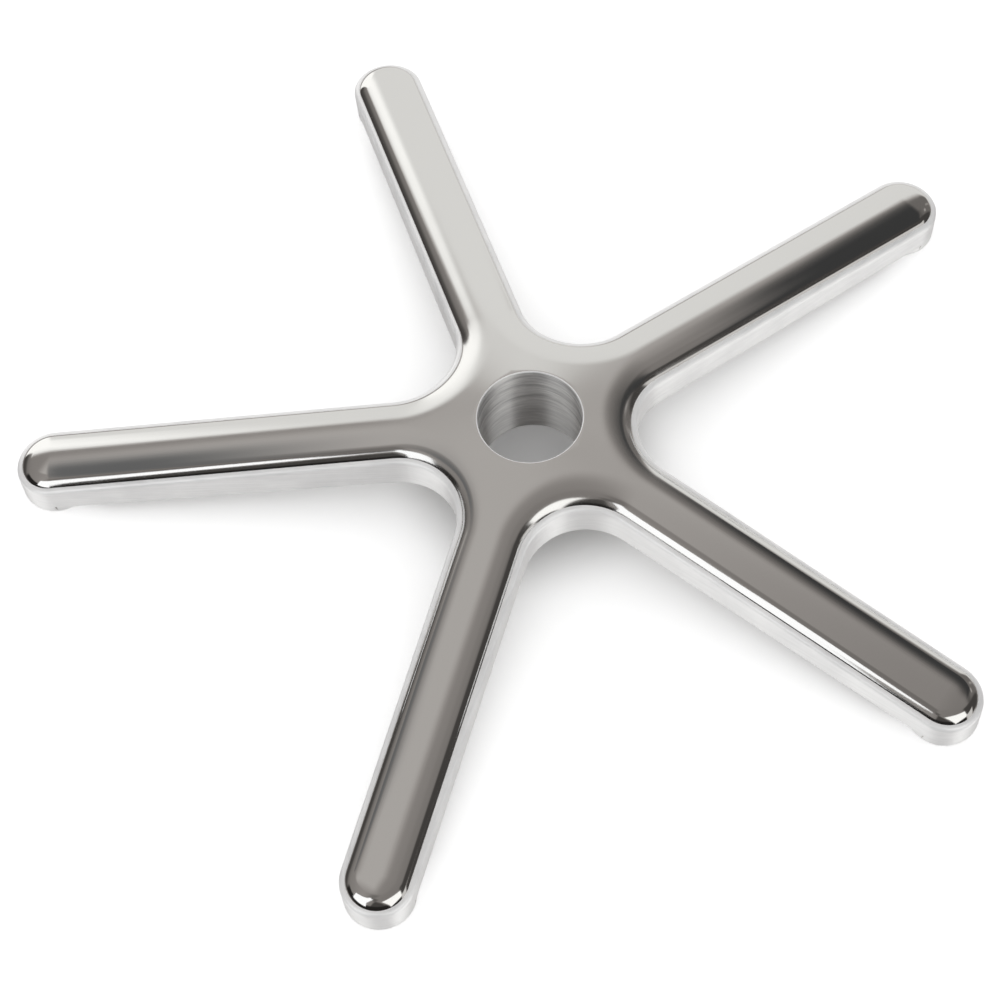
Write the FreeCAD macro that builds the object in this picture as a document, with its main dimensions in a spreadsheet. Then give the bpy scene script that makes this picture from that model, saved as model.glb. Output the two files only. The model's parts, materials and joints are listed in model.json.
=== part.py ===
import FreeCAD, Part
import os

import Sketcher

# Five star base of an office chair, one polished aluminium casting.
# The origin is the centre of the column bore at its upper rim, +Z points up,
# and the first arm runs along +X. Lengths are in millimetres, angles in degrees.

# Driving dimensions: alias, value, meaning
DIMENSIONS = [
    ("arm_count", 5, "number of arms"),
    ("foot_reach", 232.5, "hub axis to the centre of each foot"),
    ("foot_width", 35.0, "diameter of a foot"),
    ("foot_depth", 50.0, "bore rim to the plane of the feet"),
    ("foot_height", 10.0, "height of a foot's disc, most of it inside the arm"),
    ("foot_round", 1.5, "rounding of a foot's lower edge"),
    ("arm_width", 35.0, "width of an arm over its side walls"),
    ("web_radius", 30.0, "rounding of the side wall between two arms"),
    ("crest_start", 3.0, "height of the crown's cone at the hub axis"),
    ("crest_fall", 0.12, "drop of the crown for each millimetre outward"),
    ("crown_rise", 5.4, "height of the polished crown over its ledge"),
    ("crown_width", 32.4, "width of the crown's block below its shoulders"),
    ("crown_round", 11.0, "radius of the crown's shoulders"),
    ("crown_block", 14.0, "height of the crown's block, most of it inside the arm"),
    ("ledge_round", 2.5, "radius of the ledge beside the crown"),
    ("lower_start", 24.4, "depth of the side wall's lower edge at the hub axis"),
    ("lower_fall", 0.0943, "drop of the lower edge for each millimetre outward"),
    ("lower_round", 1.5, "rounding of the side wall's lower edge"),
    ("wall", 4.5, "thickness of the side walls"),
    ("roof", 7.5, "thickness of an arm below its crest"),
    ("roof_round", 3.0, "inner rounding between side walls and roof"),
    ("root_depth", 2.5, "depth to which ribs and boss are rooted in the roof"),
    ("rib_width", 4.0, "thickness of the long rib under an arm"),
    ("rib_recess", 2.0, "lower edge of an arm to the edge of its ribs"),
    ("cross_width", 3.5, "thickness of a cross rib"),
    ("cross_first", 95.0, "hub axis to the first cross rib"),
    ("cross_pitch", 45.0, "spacing of the cross ribs"),
    ("bore_width", 50.0, "diameter of the column bore"),
    ("bore_chamfer", 0.6, "chamfer at both mouths of the column bore"),
    ("boss_width", 66.0, "outer diameter of the hub boss"),
    ("boss_depth", 49.0, "bore rim to the lower face of the hub boss"),
    ("stem_width", 11.0, "diameter of a caster stem socket"),
    ("stem_depth", 21.0, "depth of a caster stem socket"),
    ("stem_chamfer", 0.8, "chamfer at the mouth of a stem socket"),
]
CROSS_RIBS = 3

doc = FreeCAD.newDocument("five_star_base")
sheet = doc.addObject("Spreadsheet::Sheet", "Sizes")
for row, (alias, number, meaning) in enumerate(DIMENSIONS, start=1):
    sheet.set("A%d" % row, meaning)
    sheet.set("B%d" % row, str(number))
    sheet.setAlias("B%d" % row, alias)
doc.recompute()

# Heights and reaches that several features share, as expressions over the sheet
CLEAR = "(2 * Sizes.foot_depth)"
OUTSIDE = "(Sizes.foot_reach + Sizes.foot_width)"
LEDGE_START = "(Sizes.crest_start - Sizes.crown_rise)"


def number_of(text):
    """The number that an expression over the sheet stands for."""
    return float(sheet.evalExpression(text))


def falling(start, fall, reach):
    """Height of a cone at a reach from the hub axis."""
    return "(%s - %s * %s)" % (start, fall, reach)


def new_body(label):
    body = doc.addObject("PartDesign::Body", label)
    body.Label = label
    return body


def origin_item(body, role):
    return [item for item in body.Origin.OriginFeatures if item.Role == role][0]


def new_sketch(body, name, role, offset=None):
    """A sketch on one of the body's origin planes, moved along that plane's normal."""
    sketch = body.newObject("Sketcher::SketchObject", name)
    sketch.AttachmentSupport = [(origin_item(body, role), "")]
    sketch.MapMode = "FlatFace"
    if offset:
        sketch.setExpression("AttachmentOffset.Base.z", offset)
    return sketch


def bind(sketch, constraint, text):
    """Add a dimension whose value follows an expression over the sheet."""
    index = sketch.addConstraint(constraint)
    name = "size_%d" % index
    sketch.renameConstraint(index, name)
    sketch.setExpression("Constraints." + name, text)


def polygon(sketch, corners):
    """A closed polygon whose corners are pairs of expressions."""
    points = [FreeCAD.Vector(number_of(x), number_of(y), 0) for x, y in corners]
    count = len(points)
    for i in range(count):
        sketch.addGeometry(Part.LineSegment(points[i], points[(i + 1) % count]))
    for i in range(count):
        sketch.addConstraint(Sketcher.Constraint("Coincident", i, 2, (i + 1) % count, 1))
    for i, (x, y) in enumerate(corners):
        bind(sketch, Sketcher.Constraint("DistanceX", -1, 1, i, 1, points[i].x), x)
        bind(sketch, Sketcher.Constraint("DistanceY", -1, 1, i, 1, points[i].y), y)


def disc(sketch, diameter, reach=None):
    """A circle on the X axis, or at the origin where no reach is given."""
    centre = FreeCAD.Vector(number_of(reach) if reach else 0, 0, 0)
    circle = Part.Circle(centre, FreeCAD.Vector(0, 0, 1), number_of(diameter) / 2)
    sketch.addGeometry(circle)
    if reach:
        sketch.addConstraint(Sketcher.Constraint("PointOnObject", 0, 3, -1))
        bind(sketch, Sketcher.Constraint("DistanceX", -1, 1, 0, 3, centre.x), reach)
    else:
        sketch.addConstraint(Sketcher.Constraint("Coincident", 0, 3, -1, 1))
    bind(sketch, Sketcher.Constraint("Diameter", 0, 2 * circle.Radius), diameter)


def arm_plan(sketch, width, reach):
    """An arm seen from above: straight sides from the hub axis and a round end."""
    half = number_of(width) / 2
    end = number_of(reach)
    start_low = FreeCAD.Vector(0, -half, 0)
    start_high = FreeCAD.Vector(0, half, 0)
    end_low = FreeCAD.Vector(end, -half, 0)
    end_high = FreeCAD.Vector(end, half, 0)
    tip = FreeCAD.Vector(end + half, 0, 0)
    sketch.addGeometry(Part.LineSegment(start_low, end_low))
    sketch.addGeometry(Part.Arc(end_low, tip, end_high))
    sketch.addGeometry(Part.LineSegment(end_high, start_high))
    sketch.addGeometry(Part.LineSegment(start_high, start_low))
    for rule in [
        ("Tangent", 0, 2, 1, 1),
        ("Tangent", 1, 2, 2, 1),
        ("Coincident", 2, 2, 3, 1),
        ("Coincident", 3, 2, 0, 1),
        ("Horizontal", 0),
        ("Horizontal", 2),
        ("PointOnObject", 1, 3, -1),
        ("PointOnObject", 0, 1, -2),
        ("PointOnObject", 2, 2, -2),
    ]:
        sketch.addConstraint(Sketcher.Constraint(*rule))
    bind(sketch, Sketcher.Constraint("Radius", 1, half), width + " / 2")
    bind(sketch, Sketcher.Constraint("DistanceX", -1, 1, 1, 3, end), reach)


def pad(body, sketch, name, length, midplane=False):
    feature = body.newObject("PartDesign::Pad", name)
    feature.Profile = sketch
    feature.setExpression("Length", length)
    feature.Midplane = midplane
    return feature


def turn(body, kind, sketch, name):
    """A full turn of a profile about the sketch's upright axis, added or cut away."""
    feature = body.newObject(kind, name)
    feature.Profile = sketch
    feature.ReferenceAxis = (sketch, ["V_Axis"])
    feature.Angle = 360
    return feature


def around_hub(body, originals, name):
    """Repeat features once for each arm."""
    pattern = body.newObject("PartDesign::PolarPattern", name)
    pattern.Originals = originals
    pattern.Axis = (origin_item(body, "Z_Axis"), [""])
    pattern.Angle = 360
    pattern.setExpression("Occurrences", "Sizes.arm_count")
    body.Tip = pattern
    doc.recompute()


def edges_where(feature, test):
    """Names of the feature's edges that pass a test on the edge and its middle point."""
    names = []
    for i, edge in enumerate(feature.Shape.Edges, start=1):
        middle = edge.valueAt((edge.FirstParameter + edge.LastParameter) / 2)
        if test(edge, middle):
            names.append("Edge%d" % i)
    return names


def round_edges(body, name, test, radius):
    """Fillet the edges of the body's last feature that pass a test."""
    feature = body.Tip
    names = edges_where(feature, test)
    fillet = body.newObject("PartDesign::Fillet", name)
    fillet.Base = (feature, names)
    fillet.setExpression("Radius", radius)
    body.Tip = fillet
    doc.recompute()


def cut_above(body, name, start, fall):
    """Cut away all that stands over a cone falling outward from the hub."""
    sketch = new_sketch(body, name + "_profile", "XZ_Plane")
    polygon(sketch, [
        ("0", start),
        (OUTSIDE, falling(start, fall, OUTSIDE)),
        (OUTSIDE, CLEAR),
        ("0", CLEAR),
    ])
    turn(body, "PartDesign::Groove", sketch, name)


def cut_below(body, name, start, fall):
    """Cut away all that hangs under a cone falling outward from the hub."""
    sketch = new_sketch(body, name + "_profile", "XZ_Plane")
    polygon(sketch, [
        ("0", start),
        ("0", "-" + CLEAR),
        (OUTSIDE, "-" + CLEAR),
        (OUTSIDE, falling(start, fall, OUTSIDE)),
    ])
    turn(body, "PartDesign::Groove", sketch, name)


def upright(edge, middle):
    """Straight edges between two arms, near the hub."""
    along = edge.tangentAt(edge.FirstParameter)
    near = (middle.x ** 2 + middle.y ** 2) ** 0.5 < number_of("Sizes.foot_reach / 2")
    return near and abs(along.z) > 0.9


def on_cone(start, fall):
    """A test for edges outside the hub that lie on a cone falling from it."""
    height = number_of(start)
    slope = number_of(fall)
    inner = number_of("Sizes.boss_width / 2")

    def test(edge, middle):
        span = edge.LastParameter - edge.FirstParameter
        for share in (0.1, 0.5, 0.9):
            point = edge.valueAt(edge.FirstParameter + share * span)
            reach = (point.x ** 2 + point.y ** 2) ** 0.5
            if reach < inner or abs(point.z - height + slope * reach) > 0.01:
                return False
        return True

    return test


def star_block(name, width, reach, web, top, bottom):
    """Arms and hub as one block between two cones, in a body of its own.

    The top and the bottom are each a height at the hub axis and a fall.
    """
    body = new_body(name)
    plan = new_sketch(body, name + "_plan", "XY_Plane", "-" + CLEAR)
    arm_plan(plan, width, reach)
    arm = pad(body, plan, name + "_arm", "2 * " + CLEAR)
    doc.recompute()
    around_hub(body, [arm], name + "_arms")
    round_edges(body, name + "_webs", upright, web)
    cut_above(body, name + "_top", *top)
    cut_below(body, name + "_bottom", *bottom)
    doc.recompute()
    return body


def combine(body, kind, tool, merge_faces=False):
    """Fuse a tool body into this one or cut it away."""
    feature = body.newObject("PartDesign::Boolean", kind.lower() + "_" + tool.Name)
    feature.Type = kind
    feature.Refine = merge_faces
    feature.setObjects([tool])
    body.Tip = feature
    doc.recompute()


def disc_pad(body, name, diameter, start, length, reach=None):
    """An upright cylinder that rises from a height."""
    plan = new_sketch(body, name + "_plan", "XY_Plane", start)
    disc(plan, diameter, reach)
    return pad(body, plan, name, length)


def circles_at(height, diameter):
    """A test for level circles of a diameter at a height."""
    level = number_of(height)
    radius = number_of(diameter) / 2

    def test(edge, middle):
        if edge.Curve.TypeId != "Part::GeomCircle":
            return False
        return abs(middle.z - level) < 0.01 and abs(edge.Curve.Radius - radius) < 0.01

    return test


# Crown: the polished top of hub and arms, a block with rounded shoulders
CREST = ("Sizes.crest_start", "Sizes.crest_fall")
CROWN_INSET = "((Sizes.arm_width - Sizes.crown_width) / 2)"
crown = star_block(
    "crown_form",
    "Sizes.crown_width",
    "Sizes.foot_reach",
    "(Sizes.web_radius + %s)" % CROWN_INSET,
    CREST,
    ("(Sizes.crest_start - Sizes.crown_block)", "Sizes.crest_fall"),
)
round_edges(crown, "crown_shoulder", on_cone(*CREST), "Sizes.crown_round")

# Hollow: the space under the arms, open below
ROOF = ("(Sizes.crest_start - Sizes.roof)", "Sizes.crest_fall")
HOLLOW_WIDTH = "(Sizes.arm_width - 2 * Sizes.wall)"
hollow = star_block(
    "hollow_form",
    HOLLOW_WIDTH,
    "(Sizes.foot_reach - Sizes.foot_width / 2 - %s / 2)" % HOLLOW_WIDTH,
    "(Sizes.web_radius + Sizes.wall)",
    ROOF,
    ("-Sizes.foot_depth", "Sizes.crest_fall"),
)
round_edges(hollow, "hollow_round", on_cone(*ROOF), "Sizes.roof_round")

# Star base: hub and arms up to the ledge
LEDGE = (LEDGE_START, "Sizes.crest_fall")
LOWER = ("-Sizes.lower_start", "Sizes.lower_fall")
base = star_block(
    "star_base",
    "Sizes.arm_width",
    "Sizes.foot_reach",
    "Sizes.web_radius",
    LEDGE,
    LOWER,
)
round_edges(base, "ledge_edge", on_cone(*LEDGE), "Sizes.ledge_round")
round_edges(base, "lower_edge", on_cone(*LOWER), "Sizes.lower_round")
combine(base, "Fuse", crown)
combine(base, "Cut", hollow)

# Underside: hub boss, one long rib under each arm, short ones across it, and feet
under = new_body("underside_form")
FLOOR = "(-Sizes.foot_depth)"
BOSS_FACE = "(-Sizes.boss_depth)"
BOSS_LENGTH = "Sizes.boss_depth - Sizes.roof + Sizes.root_depth"
disc_pad(under, "hub_boss", "Sizes.boss_width", BOSS_FACE, BOSS_LENGTH)
doc.recompute()
RIB_START = "(Sizes.boss_width / 2 - Sizes.rib_width)"
RIB_END = "(Sizes.foot_reach - Sizes.foot_width / 2 + Sizes.rib_width)"
RIB_UPPER = "(Sizes.crest_start - Sizes.roof + Sizes.root_depth)"
RIB_LOWER = "(Sizes.rib_recess - Sizes.lower_start)"
long_plan = new_sketch(under, "long_rib_plan", "XZ_Plane")
polygon(long_plan, [
    (RIB_START, falling(RIB_LOWER, "Sizes.lower_fall", RIB_START)),
    (RIB_END, falling(RIB_LOWER, "Sizes.lower_fall", RIB_END)),
    (RIB_END, falling(RIB_UPPER, "Sizes.crest_fall", RIB_END)),
    (RIB_START, falling(RIB_UPPER, "Sizes.crest_fall", RIB_START)),
])
details = [pad(under, long_plan, "long_rib", "Sizes.rib_width", midplane=True)]
HALF_SPAN = "((Sizes.arm_width - Sizes.wall) / 2)"
for i in range(CROSS_RIBS):
    reach = "(Sizes.cross_first + %d * Sizes.cross_pitch)" % i
    upper = falling(RIB_UPPER, "Sizes.crest_fall", reach)
    lower = falling(RIB_LOWER, "Sizes.lower_fall", reach)
    name = "cross_rib_%d" % (i + 1)
    cross_plan = new_sketch(under, name + "_plan", "YZ_Plane", reach)
    polygon(cross_plan, [
        ("-" + HALF_SPAN, lower),
        (HALF_SPAN, lower),
        (HALF_SPAN, upper),
        ("-" + HALF_SPAN, upper),
    ])
    details.append(pad(under, cross_plan, name, "Sizes.cross_width", midplane=True))
foot = disc_pad(under, "foot", "Sizes.foot_width", FLOOR, "Sizes.foot_height", "Sizes.foot_reach")
details.append(foot)
doc.recompute()
around_hub(under, details, "arm_details")
round_edges(under, "foot_edges", circles_at(FLOOR, "Sizes.foot_width"), "Sizes.foot_round")
combine(base, "Fuse", under)

# Column bore and caster stem sockets, with the chamfers at their mouths
bores = new_body("bores_form")
OVER = "Sizes.crest_start"
BORE = "(Sizes.bore_width / 2)"
FLARE = "(%s + Sizes.bore_chamfer + %s)" % (BORE, OVER)
bore_profile = new_sketch(bores, "bore_profile", "XZ_Plane")
polygon(bore_profile, [
    ("0", "(-Sizes.boss_depth - %s)" % OVER),
    (FLARE, "(-Sizes.boss_depth - %s)" % OVER),
    (BORE, "(Sizes.bore_chamfer - Sizes.boss_depth)"),
    (BORE, "-Sizes.bore_chamfer"),
    (FLARE, OVER),
    ("0", OVER),
])
turn(bores, "PartDesign::Revolution", bore_profile, "column_bore")
STEM = "(Sizes.stem_width / 2)"
STEM_FLARE = "(%s + Sizes.stem_chamfer + %s)" % (STEM, OVER)
stem_profile = new_sketch(bores, "stem_profile", "XZ_Plane")
stem_profile.setExpression("AttachmentOffset.Base.x", "Sizes.foot_reach")
polygon(stem_profile, [
    ("0", "(-Sizes.foot_depth - %s)" % OVER),
    (STEM_FLARE, "(-Sizes.foot_depth - %s)" % OVER),
    (STEM, "(Sizes.stem_chamfer - Sizes.foot_depth)"),
    (STEM, "(Sizes.stem_depth - Sizes.foot_depth)"),
    ("0", "(Sizes.stem_depth - Sizes.foot_depth)"),
])
doc.recompute()
stem = turn(bores, "PartDesign::Revolution", stem_profile, "stem_socket")
doc.recompute()
around_hub(bores, [stem], "stem_sockets")
combine(base, "Cut", bores, merge_faces=True)

# Checks and the written part
doc.recompute()
for item in doc.Objects:
    if "Invalid" in item.State or "Error" in item.State:
        raise RuntimeError("%s is %s" % (item.Name, item.State))
if base.Shape.isNull() or not base.Shape.isValid() or len(base.Shape.Solids) != 1:
    raise RuntimeError("star_base isn't one valid solid")
os.makedirs("parts", exist_ok=True)
base.Shape.exportStep("parts/star_base.step")
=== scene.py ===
import json
import math

import bmesh
import bpy
from mathutils import Matrix, Vector


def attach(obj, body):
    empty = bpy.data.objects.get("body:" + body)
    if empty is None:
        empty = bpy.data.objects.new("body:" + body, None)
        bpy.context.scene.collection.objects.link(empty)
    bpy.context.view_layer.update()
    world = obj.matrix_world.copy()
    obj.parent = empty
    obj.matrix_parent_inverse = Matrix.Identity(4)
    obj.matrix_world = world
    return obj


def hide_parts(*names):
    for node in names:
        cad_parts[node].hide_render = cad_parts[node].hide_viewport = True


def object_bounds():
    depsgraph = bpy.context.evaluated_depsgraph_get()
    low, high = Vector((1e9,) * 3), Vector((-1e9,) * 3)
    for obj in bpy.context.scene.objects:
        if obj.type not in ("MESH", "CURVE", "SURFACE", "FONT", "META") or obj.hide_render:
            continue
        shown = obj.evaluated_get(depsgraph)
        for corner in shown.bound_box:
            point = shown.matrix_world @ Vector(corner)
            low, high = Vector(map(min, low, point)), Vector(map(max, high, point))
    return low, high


# Five star base of an office chair: one aluminium casting with a polished crown over
# satin side walls, a turned column bore and an as-cast underside. Lengths are in metres.

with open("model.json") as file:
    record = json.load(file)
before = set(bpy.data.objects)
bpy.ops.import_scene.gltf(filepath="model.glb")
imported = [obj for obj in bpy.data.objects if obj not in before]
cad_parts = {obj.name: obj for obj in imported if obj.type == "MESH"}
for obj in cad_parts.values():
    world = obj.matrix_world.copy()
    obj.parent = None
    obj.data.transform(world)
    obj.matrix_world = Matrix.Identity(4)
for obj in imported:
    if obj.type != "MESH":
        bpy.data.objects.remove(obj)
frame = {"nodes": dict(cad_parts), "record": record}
CAD_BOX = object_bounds()
CASTING = frame["nodes"]["star_base"]
MOUNTS = {mount["name"]: mount for mount in frame["record"]["mounts"]}
MM = 0.001

# Plan of the arms
ARMS = 5
STEP = 2 * math.pi / ARMS
REACH = MOUNTS["stem_socket_1"]["pos_m"][0]
HALF = CAD_BOX[1].x - REACH
WEB = 30 * MM
WEB_AXIS = (HALF + WEB) / math.tan(STEP / 2)
WEB_SWEEP = math.pi / 2 - STEP / 2

# Crest and lower edge are cones that fall away from the hub axis
CREST = 3.0 * MM
FALL = 0.12
FLOOR = CAD_BOX[0].z

# Crown section: a gentle top arc, then a tighter shoulder down to the crease
CROWN_RISE = 5.4 * MM
TOP_RADIUS = 43 * MM
TOP_SLOPE = math.radians(12)
SHOULDER = 8.75 * MM
CREASE_SLOPE = math.radians(60)
TUCK = 0.25 * MM

# Ledge beside the crown, and the side wall, which leans inward as it goes down
LEDGE_START = 3.0 * MM
LEDGE_ROUND = 2.5 * MM
LOWER = -24.4 * MM
LOWER_FALL = 0.0943
EDGE_ROUND = 1.5 * MM
EDGE_TUCK = 0.4 * MM
WALL = 4.6 * MM
LEDGE_DEPTH = WALL - 1 * MM
LEAN = 0.04
LEAN_FADE = 3.4 * MM

# Column bore and caster stem sockets
BORE = MOUNTS["hub_bore"]["dims"]["r_mm"] * MM
BORE_CHAMFER = 0.6 * MM
BOSS = 33 * MM
BOSS_FACE = -49 * MM
STEM = MOUNTS["stem_socket_1"]["dims"]["r_mm"] * MM
STEM_CHAMFER = 0.8 * MM

# Mesh density of the crown
TIP_STEPS = 18
SIDE_STEPS = 24
WEB_STEPS = 20
CROWN_STEPS = 36
HUB_STEPS = 12
BORE_STEPS = 8
ROUND_STEPS = 7
WALL_STEPS = 5
WELD = 0.002 * MM
HAIR = 0.05 * MM
UV_SIZE = 250 * MM
SHARP = math.radians(30)

# Finishes, in the order of the materials
REGIONS = ["crown", "side", "turned", "cast"]

# Colour sockets of the Mix node, which share their names with its other kinds
MIX_A = 6
MIX_B = 7
MIX_RESULT = 2


def spread(first, last, steps):
    """Evenly spaced numbers from first to last, both included."""
    return [first + (last - first) * i / steps for i in range(steps + 1)]


def crest(x, y):
    """Height of the cone on which the arms' middle lines and the hub lie."""
    return CREST - FALL * math.hypot(x, y)


def ledge(x, y):
    """Height of the ledge beside the crown."""
    return crest(x, y) - CROWN_RISE


def lower_edge(x, y):
    """Height of the side wall's lower edge between the feet."""
    return LOWER - LOWER_FALL * math.hypot(x, y)


def on_arm(x, y):
    """The nearest arm's angle, and the point's place along and across that arm."""
    turn = round(math.atan2(y, x) / STEP) * STEP
    u = x * math.cos(turn) + y * math.sin(turn)
    v = y * math.cos(turn) - x * math.sin(turn)
    return turn, u, v


def plan_at(x, y):
    """Distance inward from the side wall, and the direction in plan that leads inward."""
    turn, u, v = on_arm(x, y)
    side = math.copysign(1, v)
    v = abs(v)
    if u > REACH:
        span = math.hypot(u - REACH, v)
        inset = HALF - span
        inward = ((REACH - u) / span, -v / span)
    elif u >= WEB_AXIS:
        inset = HALF - v
        inward = (0, -1)
    else:
        span = math.hypot(u - WEB_AXIS, v - HALF - WEB)
        inset = span - WEB
        inward = ((u - WEB_AXIS) / span, (v - HALF - WEB) / span)
    across = inward[1] * side
    along = inward[0]
    direction = Vector((along * math.cos(turn) - across * math.sin(turn),
                        along * math.sin(turn) + across * math.cos(turn), 0))
    return inset, direction


def crown_profile():
    """Points of the crown's section, as inset and drop, from the arm's middle to the tuck."""
    top_edge = TOP_RADIUS * math.sin(TOP_SLOPE)
    top_drop = TOP_RADIUS * (1 - math.cos(TOP_SLOPE))
    centre = top_edge - SHOULDER * math.sin(TOP_SLOPE)
    points = []
    for i in range(CROWN_STEPS + 1):
        slope = CREASE_SLOPE * (i / CROWN_STEPS)
        if slope <= TOP_SLOPE:
            across = TOP_RADIUS * math.sin(slope)
            drop = TOP_RADIUS * (1 - math.cos(slope))
        else:
            across = centre + SHOULDER * math.sin(slope)
            drop = top_drop + SHOULDER * (math.cos(TOP_SLOPE) - math.cos(slope))
        points.append((HALF - across, drop))
    inset, drop = points[-1]
    depth = CROWN_RISE + TUCK - drop
    points.append((inset - depth / math.tan(CREASE_SLOPE), drop + depth))
    return points


def tip_column(angle):
    """Places in plan around the arm's end, as a function of the inset."""
    return lambda inset: (REACH + (HALF - inset) * math.cos(angle),
                          (HALF - inset) * math.sin(angle))


def side_column(along):
    """Places in plan across the arm's straight side."""
    return lambda inset: (along, HALF - inset)


def web_column(turn):
    """Places in plan across the rounding between two arms."""
    angle = -math.pi / 2 - turn
    return lambda inset: (WEB_AXIS + (WEB + inset) * math.cos(angle),
                          HALF + WEB + (WEB + inset) * math.sin(angle))


def tip_columns():
    return [tip_column(angle) for angle in spread(0, math.pi / 2, TIP_STEPS)]


def web_columns():
    return [web_column(turn) for turn in spread(0, WEB_SWEEP, WEB_STEPS)]


def side_columns():
    """Outline of half an arm from its foot to the middle of the web."""
    straight = [side_column(along) for along in spread(REACH, WEB_AXIS, SIDE_STEPS)]
    return straight[:-1] + web_columns()


def arm_columns():
    """Outline of half an arm from its end to the middle of the web."""
    return tip_columns() + side_columns()[1:]


def crown_rows():
    """Rings from the arm's middle line out over the shoulder to the crease."""
    rows = []
    for inset, drop in crown_profile():
        plan = [column(inset) for column in arm_columns()]
        rows.append([(x, y, crest(x, y) - drop) for x, y in plan])
    return rows


def hub_rows():
    """Rings from the rim of the bore out to the webs' middle line."""
    rim = BORE + BORE_CHAMFER
    rows = []
    for share in spread(1, 0, HUB_STEPS):
        row = []
        for column in web_columns():
            x, y = column(HALF)
            angle = math.atan2(y, x)
            x += (rim * math.cos(angle) - x) * share
            y += (rim * math.sin(angle) - y) * share
            row.append((x, y, crest(x, y)))
        rows.append(row)
    return rows


def ledge_rows():
    """Rings over the ledge and its rounded outer edge."""
    rows = [[(x, y, ledge(x, y)) for x, y in (column(LEDGE_START) for column in arm_columns())]]
    for turn in spread(0, math.pi / 2, ROUND_STEPS):
        inset = LEDGE_ROUND * (1 - math.sin(turn))
        sink = LEDGE_ROUND * (1 - math.cos(turn))
        plan = [column(inset) for column in arm_columns()]
        rows.append([(x, y, ledge(x, y) - sink) for x, y in plan])
    return rows


def wall_rows(columns, bottom):
    """Rings down the leaning side wall and around its lower edge to a height or a cone."""
    rows = []
    for share in spread(0, 1, WALL_STEPS):
        row = []
        for column in columns:
            x, y = column(0)
            top = ledge(x, y) - LEDGE_ROUND
            z = top + (bottom(x, y) + EDGE_ROUND - top) * share
            row.append((*column(LEAN * (top - z)), z))
        rows.append(row)
    rounds = [(EDGE_ROUND * (1 - math.cos(turn)), EDGE_ROUND * (1 - math.sin(turn)))
              for turn in spread(0, math.pi / 2, ROUND_STEPS)[1:]]
    rounds.append((EDGE_ROUND + EDGE_TUCK, EDGE_TUCK))
    for inset, rise in rounds:
        row = []
        for column in columns:
            x, y = column(0)
            lean = LEAN * (ledge(x, y) - LEDGE_ROUND - bottom(x, y) - EDGE_ROUND)
            x, y = column(lean + inset)
            row.append((x, y, bottom(x, y) + rise))
        rows.append(row)
    return rows


def bore_rings():
    """Radius and height of the bore's rings, upward: its rounded rim, and its wall below."""
    rim = BORE + BORE_CHAMFER
    top = crest(rim, 0)
    mouth = [(rim - BORE_CHAMFER * math.sin(turn), top - BORE_CHAMFER * (1 - math.cos(turn)))
             for turn in spread(math.pi / 2, 0, ROUND_STEPS)]
    wall = [(BORE, z) for z in spread(BOSS_FACE + BORE_CHAMFER, top - BORE_CHAMFER, BORE_STEPS)]
    return mouth, [(rim, BOSS_FACE)] + wall


def round_rows(rings):
    """Points of rings about the hub axis, in line with the columns of the webs."""
    rows = []
    for radius, z in rings:
        plan = [column(HALF) for column in web_columns()]
        angles = [math.atan2(y, x) for x, y in plan]
        rows.append([(radius * math.cos(a), radius * math.sin(a), z) for a in angles])
    return rows


def add_rows(bm, rows, region):
    """Lays half a sector's rings on both halves of every arm."""
    faces = []
    place = bm.loops.layers.uv["arm_place"]
    for arm in range(ARMS):
        cosine = math.cos(arm * STEP)
        sine = math.sin(arm * STEP)
        for side in (1, -1):
            grid = []
            for row in rows:
                turned = [(x * cosine - side * y * sine, x * sine + side * y * cosine, z)
                          for x, y, z in row]
                grid.append([bm.verts.new(point) for point in turned])
            for i, (upper, lower) in enumerate(zip(grid, grid[1:])):
                for j in range(len(upper) - 1):
                    corners = [upper[j], upper[j + 1], lower[j + 1], lower[j]]
                    points = [rows[i][j], rows[i][j + 1], rows[i + 1][j + 1], rows[i + 1][j]]
                    face = bm.faces.new(corners[::-side])
                    for loop, point in zip(face.loops, points[::-side]):
                        loop[place].uv = (point[0] / UV_SIZE, side * point[1] / UV_SIZE + 0.5)
                    faces.append(face)
    for face in faces:
        face.material_index = REGIONS.index(region)
        face.smooth = True
    return faces


def is_skin(face):
    """Whether a face of the solid lies on the crown, the bore, the ledge or the side wall."""
    x, y, z = face.calc_center_median()
    if math.hypot(x, y) < BORE + BORE_CHAMFER or z > ledge(x, y) + HAIR:
        return True
    inset, _ = plan_at(x, y)
    if z > ledge(x, y) - LEDGE_ROUND - HAIR:
        return inset < LEDGE_DEPTH
    if inset > EDGE_ROUND - HAIR:
        return False
    corners = [on_arm(*vert.co.xy)[1:] for vert in face.verts]
    if min(along for along, _ in corners) > REACH - HAIR:
        return True
    on_foot = all(abs(math.hypot(along - REACH, across) - HALF) < HAIR for along, across in corners)
    return z > lower_edge(x, y) - HAIR and not on_foot


def casting_region(centre):
    """Finish of a face of the solid that stays: socket, foot, hub boss or as-cast hollow."""
    x, y, z = centre
    _, along, across = on_arm(x, y)
    from_foot = math.hypot(along - REACH, across)
    if from_foot < STEM + STEM_CHAMFER or z < FLOOR + HAIR:
        return "turned"
    if math.hypot(x, y) < BOSS and z < BOSS_FACE + HAIR:
        return "turned"
    beside_foot = from_foot > HALF - EDGE_ROUND and along > REACH - HALF - HAIR
    if beside_foot and z < lower_edge(x, y) + HAIR:
        return "side"
    return "cast"


def lean_wall(vert):
    """Moves a point of the side wall inward by its depth below the ledge."""
    inset, inward = plan_at(vert.co.x, vert.co.y)
    depth = ledge(vert.co.x, vert.co.y) - LEDGE_ROUND - vert.co.z
    if depth <= 0 or inset > WALL + LEAN_FADE:
        return
    share = min(1.0, (WALL + LEAN_FADE - inset) / LEAN_FADE)
    vert.co += inward * (depth * LEAN * share)


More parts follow.
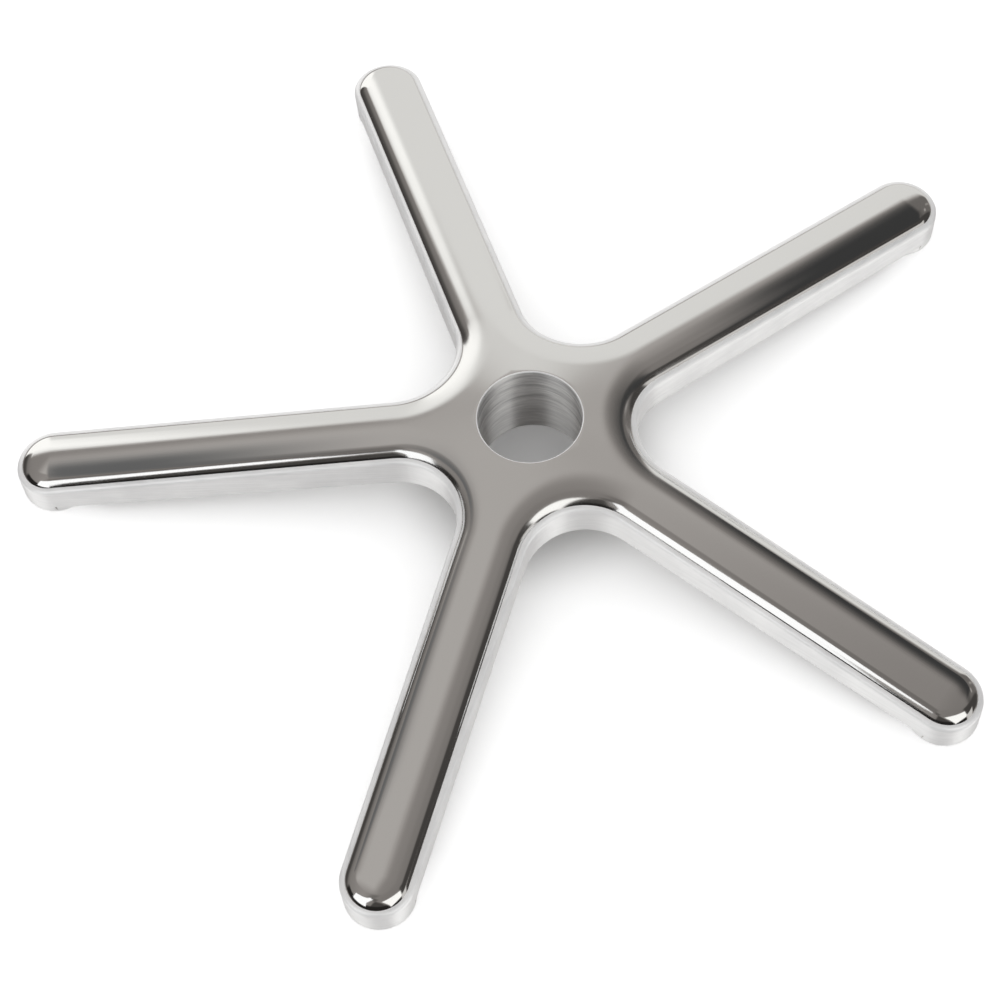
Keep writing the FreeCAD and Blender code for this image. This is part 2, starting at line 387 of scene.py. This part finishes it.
def build_casting(materials):
    """The solid's underside and feet, under its own crown, ledge, walls and bore."""
    bm = bmesh.new()
    bm.from_mesh(CASTING.data)
    bm.loops.layers.uv.new("arm_place")
    bmesh.ops.delete(bm, geom=[face for face in bm.faces if is_skin(face)], context="FACES")
    for face in bm.faces:
        face.material_index = REGIONS.index(casting_region(face.calc_center_median()))
    for vert in bm.verts:
        lean_wall(vert)
    kept = set(bm.verts)
    faces = add_rows(bm, crown_rows(), "crown")
    faces += add_rows(bm, hub_rows(), "crown")
    faces += add_rows(bm, ledge_rows(), "side")
    faces += add_rows(bm, wall_rows(tip_columns(), lambda x, y: FLOOR), "side")
    faces += add_rows(bm, wall_rows(side_columns(), lower_edge), "side")
    mouth, wall = bore_rings()
    faces += add_rows(bm, round_rows(mouth), "side")
    faces += add_rows(bm, round_rows(wall), "turned")
    added = [vert for vert in bm.verts if vert not in kept]
    bmesh.ops.remove_doubles(bm, verts=added, dist=WELD)
    bm.normal_update()
    added = [vert for vert in bm.verts if vert not in kept]
    new_edges = {edge for vert in added for edge in vert.link_edges}
    for edge in new_edges:
        if edge.is_manifold and edge.calc_face_angle() > SHARP:
            edge.smooth = False
    mesh = bpy.data.meshes.new("star_casting")
    bm.to_mesh(mesh)
    bm.free()
    for material in materials:
        mesh.materials.append(material)
    piece = bpy.data.objects.new("star_casting", mesh)
    bpy.context.scene.collection.objects.link(piece)
    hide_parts("star_base")
    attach(piece, "root")


class Shader:
    """A node tree with short calls for the nodes used here."""

    def __init__(self, tree):
        self.nodes = tree.nodes
        self.links = tree.links

    def add(self, kind, **settings):
        node = self.nodes.new(kind)
        for name, value in settings.items():
            setattr(node, name, value)
        return node

    def feed(self, socket, value):
        if isinstance(value, bpy.types.NodeSocket):
            self.links.new(value, socket)
        else:
            socket.default_value = value

    def math(self, operation, *values):
        node = self.add("ShaderNodeMath", operation=operation)
        for socket, value in zip(node.inputs, values):
            self.feed(socket, value)
        return node.outputs[0]

    def ramp(self, value, low, high, to_low=0.0, to_high=1.0, smooth=True):
        kind = "SMOOTHSTEP" if smooth else "LINEAR"
        node = self.add("ShaderNodeMapRange", interpolation_type=kind)
        for name, entry in (("Value", value), ("From Min", low), ("From Max", high),
                            ("To Min", to_low), ("To Max", to_high)):
            self.feed(node.inputs[name], entry)
        return node.outputs[0]

    def blend(self, share, first, second):
        node = self.add("ShaderNodeMix", data_type="FLOAT")
        self.feed(node.inputs["Factor"], share)
        self.feed(node.inputs["A"], first)
        self.feed(node.inputs["B"], second)
        return node.outputs["Result"]

    def tint(self, share, first, second):
        node = self.add("ShaderNodeMix", data_type="RGBA")
        self.feed(node.inputs["Factor"], share)
        self.feed(node.inputs[MIX_A], first)
        self.feed(node.inputs[MIX_B], second)
        return node.outputs[MIX_RESULT]

    def noise(self, vector, scale, detail, roughness=0.5):
        node = self.add("ShaderNodeTexNoise")
        self.links.new(vector, node.inputs["Vector"])
        node.inputs["Scale"].default_value = scale
        node.inputs["Detail"].default_value = detail
        node.inputs["Roughness"].default_value = roughness
        return node.outputs["Fac"]

    def stretch(self, vector, scale):
        node = self.add("ShaderNodeMapping")
        self.links.new(vector, node.inputs["Vector"])
        node.inputs["Scale"].default_value = scale
        return node.outputs["Vector"]

    def bump(self, height, distance, strength, normal=None):
        node = self.add("ShaderNodeBump")
        self.links.new(height, node.inputs["Height"])
        node.inputs["Distance"].default_value = distance
        node.inputs["Strength"].default_value = strength
        if normal is not None:
            self.links.new(normal, node.inputs["Normal"])
        return node.outputs["Normal"]


def new_metal(name, colour):
    """A bare metal material, its shader, and its place in the part's own frame."""
    material = bpy.data.materials.new(name)
    material.use_nodes = True
    shader = Shader(material.node_tree)
    principled = material.node_tree.nodes["Principled BSDF"]
    principled.inputs["Metallic"].default_value = 1.0
    principled.inputs["Base Color"].default_value = (*colour, 1.0)
    place = shader.add("ShaderNodeTexCoord").outputs["Object"]
    return material, shader, principled, place


def polished_metal():
    """Hand polished crown: nearly a mirror on the arms, with more haze about the hub."""
    material, shader, principled, place = new_metal("polished_aluminium", (0.85, 0.85, 0.845))
    radius = shader.add("ShaderNodeVectorMath", operation="LENGTH")
    shader.links.new(place, radius.inputs[0])
    haze = shader.ramp(radius.outputs["Value"], 38 * MM, 85 * MM, 0.17, 0.085)
    cloud = shader.ramp(shader.noise(place, 55, 4), 0.3, 0.7, -0.015, 0.02, smooth=False)
    grain = shader.ramp(shader.noise(place, 2600, 2), 0.2, 0.8, -0.02, 0.02, smooth=False)
    roughness = shader.math("ADD", shader.math("ADD", haze, cloud), grain)
    shader.links.new(roughness, principled.inputs["Roughness"])
    waves = shader.bump(shader.noise(place, 26, 1), 0.05 * MM, 0.5)
    fine = shader.bump(shader.noise(place, 1900, 3), 0.002 * MM, 0.5, waves)
    along_arm = shader.add("ShaderNodeUVMap", uv_map="arm_place").outputs["UV"]
    lines = shader.noise(shader.stretch(along_arm, (5, 420, 1)), 1.0, 4, 0.6)
    outward = shader.ramp(radius.outputs["Value"], 60 * MM, 110 * MM)
    marks = shader.math("MULTIPLY", lines, outward)
    brushed = shader.bump(marks, 0.012 * MM, 0.5, fine)
    shader.links.new(brushed, principled.inputs["Normal"])
    return material


def satin_metal():
    """Side walls, ledge and rim: pale, matt, with fine level marks left by linishing."""
    material, shader, principled, place = new_metal("satin_aluminium", (0.86, 0.86, 0.86))
    principled.inputs["Metallic"].default_value = 0.45
    lines = shader.noise(shader.stretch(place, (40, 40, 900)), 1.0, 4, 0.65)
    cloud = shader.noise(place, 45, 4)
    shade = shader.ramp(shader.math("ADD", lines, cloud), 0.7, 1.3, 0.0, 1.0, smooth=False)
    colour = shader.tint(shade, (0.80, 0.80, 0.805, 1), (0.94, 0.94, 0.94, 1))
    shader.links.new(colour, principled.inputs["Base Color"])
    roughness = shader.ramp(lines, 0.25, 0.75, 0.34, 0.5, smooth=False)
    shader.links.new(roughness, principled.inputs["Roughness"])
    shader.links.new(shader.bump(lines, 0.02 * MM, 0.5), principled.inputs["Normal"])
    return material


def turned_metal():
    """Bored and faced surfaces, whose level tool rings draw lamps out into upright streaks."""
    material, shader, principled, place = new_metal("turned_aluminium", (0.80, 0.80, 0.795))
    principled.inputs["Metallic"].default_value = 0.8
    principled.inputs["Anisotropic"].default_value = 0.9
    principled.inputs["Anisotropic Rotation"].default_value = 0.25
    tangent = shader.add("ShaderNodeTangent", direction_type="RADIAL", axis="Z")
    shader.links.new(tangent.outputs[0], principled.inputs["Tangent"])
    rings = shader.noise(shader.stretch(place, (30, 30, 800)), 1.0, 4, 0.7)
    passes = shader.noise(shader.stretch(place, (40, 40, 260)), 1.0, 3, 0.6)
    split = shader.add("ShaderNodeSeparateXYZ")
    shader.links.new(place, split.inputs[0])
    # Painted shade: the base colour darkens with depth, towards the bottom of the bore where little
    # light reaches
    painted_depth_shade = shader.ramp(split.outputs["Z"], -48 * MM, -8 * MM, 0.4, 1.0)
    shade = shader.ramp(shader.math("ADD", rings, passes), 0.75, 1.25, 0.0, 1.0, smooth=False)
    shade = shader.math("MULTIPLY", shade, painted_depth_shade)
    colour = shader.tint(shade, (0.48, 0.48, 0.485, 1), (1.0, 1.0, 0.995, 1))
    shader.links.new(colour, principled.inputs["Base Color"])
    roughness = shader.ramp(rings, 0.25, 0.75, 0.36, 0.55, smooth=False)
    shader.links.new(roughness, principled.inputs["Roughness"])
    coarse = shader.bump(passes, 0.5 * MM, 0.7)
    shader.links.new(shader.bump(rings, 0.12 * MM, 0.9, coarse), principled.inputs["Normal"])
    return material


def cast_metal():
    """As-cast underside: dull, grainy, with the slow ripple of the mould."""
    material, shader, principled, place = new_metal("cast_aluminium", (0.62, 0.615, 0.60))
    grain = shader.noise(place, 900, 5, 0.65)
    ripple = shader.noise(place, 90, 2)
    shade = shader.ramp(grain, 0.3, 0.7, 0.0, 1.0, smooth=False)
    colour = shader.tint(shade, (0.52, 0.515, 0.50, 1), (0.68, 0.675, 0.66, 1))
    shader.links.new(colour, principled.inputs["Base Color"])
    roughness = shader.ramp(grain, 0.3, 0.7, 0.62, 0.48, smooth=False)
    shader.links.new(roughness, principled.inputs["Roughness"])
    slow = shader.bump(ripple, 0.25 * MM, 0.5)
    shader.links.new(shader.bump(grain, 0.08 * MM, 0.7, slow), principled.inputs["Normal"])
    return material


# Studio. A direction's place on the dome is its angle from the zenith in degrees,
# split along +X and +Y. Brightness is the 8-bit grey that the polished metal should show.
METAL_SHARE = 0.85

# What the camera and matt surfaces see instead of the dome
WHITE = (1.1, 1.1, 1.1, 1)

# Lamp and flags that stand nearer than the dome, as corners in millimetres
SOFTBOX_Y = -1155
SOFTBOX = [(125, -30), (130, 380), (290, 820), (300, 985), (225, 960), (175, 1130), (95, 1100),
           (32, 900), (-88, 800), (-500, 560), (-500, -30)]
FLAG_FAR = [(-62, 388, 406), (454, 170, 271), (470, 372, 113), (-51, 541, 268)]
FLAG_LEFT = [(-149, 35, 180), (-347, -109, 180), (-194, -308, 171), (4, -164, 171)]

# Shares of a flag's width and length over which its edges soften
FLAG_LEAD = 0.35
FLAG_TRAIL = 0.2
FLAG_END = 0.12


def tone(code):
    """Light that the metal shows as the given 8-bit grey."""
    share = (code / 255 + 0.055) / 1.055
    return share ** 2.4 / METAL_SHARE


class Dome:
    """Paints soft-edged patches on the studio dome, each over what came before."""

    def __init__(self, shader):
        self.shader = shader
        direction = shader.add("ShaderNodeTexCoord").outputs["Generated"]
        split = shader.add("ShaderNodeSeparateXYZ")
        shader.links.new(direction, split.inputs[0])
        level = shader.math("MINIMUM", shader.math("MAXIMUM", split.outputs["Z"], -1.0), 1.0)
        polar = shader.math("DEGREES", shader.math("ARCCOSINE", level))
        squares = shader.math("ADD", shader.math("POWER", split.outputs["X"], 2.0),
                              shader.math("POWER", split.outputs["Y"], 2.0))
        flat = shader.math("MAXIMUM", shader.math("SQRT", squares), 1e-5)
        self.polar = polar
        self.x = shader.math("MULTIPLY", polar, shader.math("DIVIDE", split.outputs["X"], flat))
        self.y = shader.math("MULTIPLY", polar, shader.math("DIVIDE", split.outputs["Y"], flat))

    def fill(self, low, high, stops):
        """Covers the dome with tones that change along +X, between two places on it."""
        bands = self.shader.add("ShaderNodeValToRGB")
        elements = bands.color_ramp.elements
        for i, (x, code) in enumerate(stops):
            element = elements[i] if i < 2 else elements.new(1.0)
            element.position = (x - low) / (high - low)
            element.color = (tone(code), tone(code), tone(code), 1)
        place = self.shader.ramp(self.x, low, high, smooth=False)
        self.shader.links.new(place, bands.inputs["Fac"])
        self.light = bands.outputs["Color"]

    def beyond(self, along_x, along_y, limit, soft):
        """1 where along_x·X + along_y·Y is past the limit, with an edge this soft."""
        first = self.shader.math("MULTIPLY", self.x, along_x)
        second = self.shader.math("MULTIPLY", self.y, along_y)
        reach = self.shader.math("ADD", first, second)
        return self.shader.ramp(reach, limit - soft, limit + soft)

    def sides(self, *limits):
        """Patch inside several edges, each as beyond() takes it."""
        share = self.beyond(*limits[0])
        for limit in limits[1:]:
            share = self.shader.math("MULTIPLY", share, self.beyond(*limit))
        return share

    def box(self, x_low, x_high, y_low, y_high, soft):
        """Patch between two places along +X and two along +Y."""
        return self.sides((1, 0, x_low, soft), (-1, 0, -x_high, soft),
                          (0, 1, y_low, soft), (0, -1, -y_high, soft))

    def paint(self, mask, code):
        self.light = self.shader.blend(mask, self.light, tone(code))


def paint_studio(dome):
    """Ceiling, tall diffuser behind and to the left, right softbox and dark gaps."""
    shader = dome.shader
    dome.fill(-120, 100, [(-120, 60), (-96, 60), (-86, 74), (-75, 108), (-60, 120),
                          (-40, 124), (-15, 134), (0, 126), (20, 116), (50, 112)])
    # Ceiling lit by the diffuser, then the darker lane on the near side
    dome.paint(dome.box(-34, -2, -16, 40, 6), 162)
    dome.paint(dome.box(-2, 12, -46, -20, 5), 102)
    # Dark room: back right, near right, and low on the near side
    dome.paint(dome.sides((1, 0, -8, 5), (0, 1, 37, 6)), 98)
    dome.paint(dome.box(14, 50, 33, 48, 7), 80)
    dome.paint(dome.sides((1, 0, 49, 5), (0, 1, 12, 5)), 60)
    dome.paint(dome.sides((1, 0, 19.5, 2), (0, -1, 48, 4)), 62)
    dome.paint(dome.box(9, 22, -50, -37, 3), 85)
    near = shader.math("MULTIPLY", shader.ramp(dome.polar, 76, 84), dome.beyond(0.5, -1, 12, 8))
    dome.paint(near, 32)
    # Right softbox and the floor's gleam beside it
    softbox = dome.sides((1, -0.45, 56.5, 2), (0, 1, -43, 2), (0, -1, -12, 1.5), (-1, 0, -89, 1))
    dome.paint(softbox, 250)
    gleam = shader.math("MULTIPLY", shader.ramp(dome.polar, 82, 85), dome.box(50, 120, 10, 42, 3))
    dome.paint(gleam, 190)
    # Diffuser, with its bright low corner, brighter towards the left
    corner = dome.sides((-1, 0, 40, 3), (-0.604, 0.797, 39.5, 3), (0, 1, 0, 3), (1, 0, -64, 5))
    dome.paint(corner, 236)
    sheet = dome.sides((-1, 0.2, 20, 5), (-0.604, 0.797, 43, 3.5), (0, 1, 8, 2.5))
    dome.paint(sheet, 210)
    left = dome.sides((-1, -1.15, 14, 6), (1, 0, -112, 10), (0, 1, -20, 10), (0, -1, -66, 10))
    dome.paint(shader.math("MULTIPLY", sheet, left), 251)
    # Floor below, seen by the walls, the bore and the underside: dim, with three lit lanes
    below = shader.ramp(dome.polar, 104, 118)
    dome.paint(below, 112)
    lanes = ((dome.sides((1, 0, 80, 12), (0, 1, -42, 12), (0, -1, -66, 12)), 252),
             (dome.sides((-1, 0, 0, 14), (0, -1, 60, 20)), 220),
             (dome.sides((-1, 0, -20, 20), (0, 1, 60, 20), (1, 0, -80, 20)), 205))
    for lane, code in lanes:
        dome.paint(shader.math("MULTIPLY", below, lane), code)
    # Lamps seen as small glints
    dome.paint(dome.box(30, 40, 60, 68, 2), 150)
    dome.paint(dome.box(21, 26, 76, 100, 2), 140)


def build_world():
    """White to the camera and to matt surfaces, the painted dome in reflections."""
    world = bpy.data.worlds.new("studio")
    bpy.context.scene.world = world
    world.use_nodes = True
    world.node_tree.nodes.clear()
    shader = Shader(world.node_tree)
    dome = Dome(shader)
    paint_studio(dome)
    path = shader.add("ShaderNodeLightPath")
    matt = shader.math("MAXIMUM", path.outputs["Is Diffuse Ray"], path.outputs["Is Camera Ray"])
    # Dim reflections are a little warm
    glossy = shader.add("ShaderNodeCombineColor")
    bright = shader.ramp(dome.light, tone(90), tone(220))
    for channel, dim, lit in (("Red", 1.08, 1.01), ("Green", 1.0, 1.0), ("Blue", 0.94, 0.97)):
        tint = shader.blend(bright, dim, lit)
        shader.links.new(shader.math("MULTIPLY", dome.light, tint), glossy.inputs[channel])
    background = shader.add("ShaderNodeBackground")
    shader.links.new(shader.tint(matt, glossy.outputs[0], WHITE), background.inputs["Color"])
    output = shader.add("ShaderNodeOutputWorld")
    shader.links.new(background.outputs[0], output.inputs["Surface"])


def reflected_sheet(name, points, uvs=None):
    """Hangs a flat lamp or flag that only reflections see, and returns its shader."""
    mesh = bpy.data.meshes.new(name)
    mesh.from_pydata([tuple(c * MM for c in point) for point in points], [],
                     [tuple(range(len(points)))])
    if uvs:
        layer = mesh.uv_layers.new(name="share")
        for loop, uv in zip(layer.data, uvs):
            loop.uv = uv
    sheet = bpy.data.objects.new(name, mesh)
    bpy.context.scene.collection.objects.link(sheet)
    material = bpy.data.materials.new(name)
    material.use_nodes = True
    material.node_tree.nodes.clear()
    mesh.materials.append(material)
    for flag in ("visible_camera", "visible_diffuse", "visible_shadow"):
        setattr(sheet, flag, False)
    return Shader(material.node_tree)


def build_softbox():
    """Large softbox far on the near side, with a slanted right edge."""
    shader = reflected_sheet("softbox", [(x, SOFTBOX_Y, z) for x, z in SOFTBOX])
    glow = shader.add("ShaderNodeEmission")
    glow.inputs["Strength"].default_value = tone(254)
    output = shader.add("ShaderNodeOutputMaterial")
    shader.links.new(glow.outputs[0], output.inputs["Surface"])


def build_flag(name, corners, code, fade):
    """Dark flag near an arm, soft at every edge.

    Its first two corners are the leading edge. Fade is the share of its length over
    which it darkens from its first end.
    """
    shader = reflected_sheet(name, corners, [(0, 0), (1, 0), (1, 1), (0, 1)])
    split = shader.add("ShaderNodeSeparateXYZ")
    shader.links.new(shader.add("ShaderNodeUVMap", uv_map="share").outputs[0], split.inputs[0])
    mask = shader.ramp(split.outputs["Y"], 0, FLAG_LEAD)
    for axis, low, high in (("X", 0, fade), ("X", 1, 1 - FLAG_END), ("Y", 1, 1 - FLAG_TRAIL)):
        mask = shader.math("MULTIPLY", mask, shader.ramp(split.outputs[axis], low, high))
    glow = shader.add("ShaderNodeEmission")
    glow.inputs["Strength"].default_value = tone(code)
    mix = shader.add("ShaderNodeMixShader")
    shader.links.new(mask, mix.inputs[0])
    shader.links.new(shader.add("ShaderNodeBsdfTransparent").outputs[0], mix.inputs[1])
    shader.links.new(glow.outputs[0], mix.inputs[2])
    output = shader.add("ShaderNodeOutputMaterial")
    shader.links.new(mix.outputs[0], output.inputs["Surface"])


def build_floor():
    """Plain pale floor that the feet stand on, a little lighter away from the hub, where it glows
    with painted light that pales its shadows.
    """
    side = 3.0
    level = FLOOR - HAIR
    corners = [(-side, -side, level), (side, -side, level),
               (side, side, level), (-side, side, level)]
    mesh = bpy.data.meshes.new("floor")
    mesh.from_pydata(corners, [], [(0, 1, 2, 3)])
    floor = bpy.data.objects.new("floor", mesh)
    bpy.context.scene.collection.objects.link(floor)
    material = bpy.data.materials.new("floor")
    material.use_nodes = True
    principled = material.node_tree.nodes["Principled BSDF"]
    principled.inputs["Base Color"].default_value = (0.93, 0.93, 0.93, 1)
    principled.inputs["Roughness"].default_value = 1.0
    principled.inputs["Specular IOR Level"].default_value = 0.0
    principled.inputs["Emission Color"].default_value = (1, 1, 1, 1)
    shader = Shader(material.node_tree)
    radius = shader.add("ShaderNodeVectorMath", operation="LENGTH")
    shader.links.new(shader.add("ShaderNodeTexCoord").outputs["Object"], radius.inputs[0])
    # Painted light: the floor glows beyond the hub, which pales the shadows on it, but not under
    # the hub, so the floor seen through the bore stays shaded
    painted_floor_glow = shader.ramp(radius.outputs["Value"], 60 * MM, 90 * MM, 0.0, 0.2)
    shader.links.new(painted_floor_glow, principled.inputs["Emission Strength"])
    mesh.materials.append(material)
    floor.visible_glossy = False


def build_camera():
    """The photograph's view: high, from the near right, rolled a little."""
    aim = Vector((14.8, -45.1, 0)) * MM
    azimuth = math.radians(-50.785)
    elevation = math.radians(60)
    roll = math.radians(-4.2285)
    distance = 1.40828
    back = Vector((math.cos(elevation) * math.cos(azimuth),
                   math.cos(elevation) * math.sin(azimuth), math.sin(elevation)))
    data = bpy.data.cameras.new("camera")
    data.lens = 108.744
    camera = bpy.data.objects.new("camera", data)
    bpy.context.scene.collection.objects.link(camera)
    turn = back.to_track_quat("Z", "Y").to_matrix() @ Matrix.Rotation(roll, 3, "Z")
    camera.matrix_world = Matrix.Translation(aim + back * distance) @ turn.to_4x4()
    bpy.context.scene.camera = camera


def set_view():
    """Plain view transform, so that tones come out as painted."""
    scene = bpy.context.scene
    scene.view_settings.view_transform = "Standard"
    scene.view_settings.look = "None"
    scene.cycles.use_denoising = True


build_casting([polished_metal(), satin_metal(), turned_metal(), cast_metal()])
build_world()
build_softbox()
build_flag("flag_far", FLAG_FAR, 54, 0.28)
build_flag("flag_left", FLAG_LEFT, 95, 0.7)
build_floor()
build_camera()
set_view()
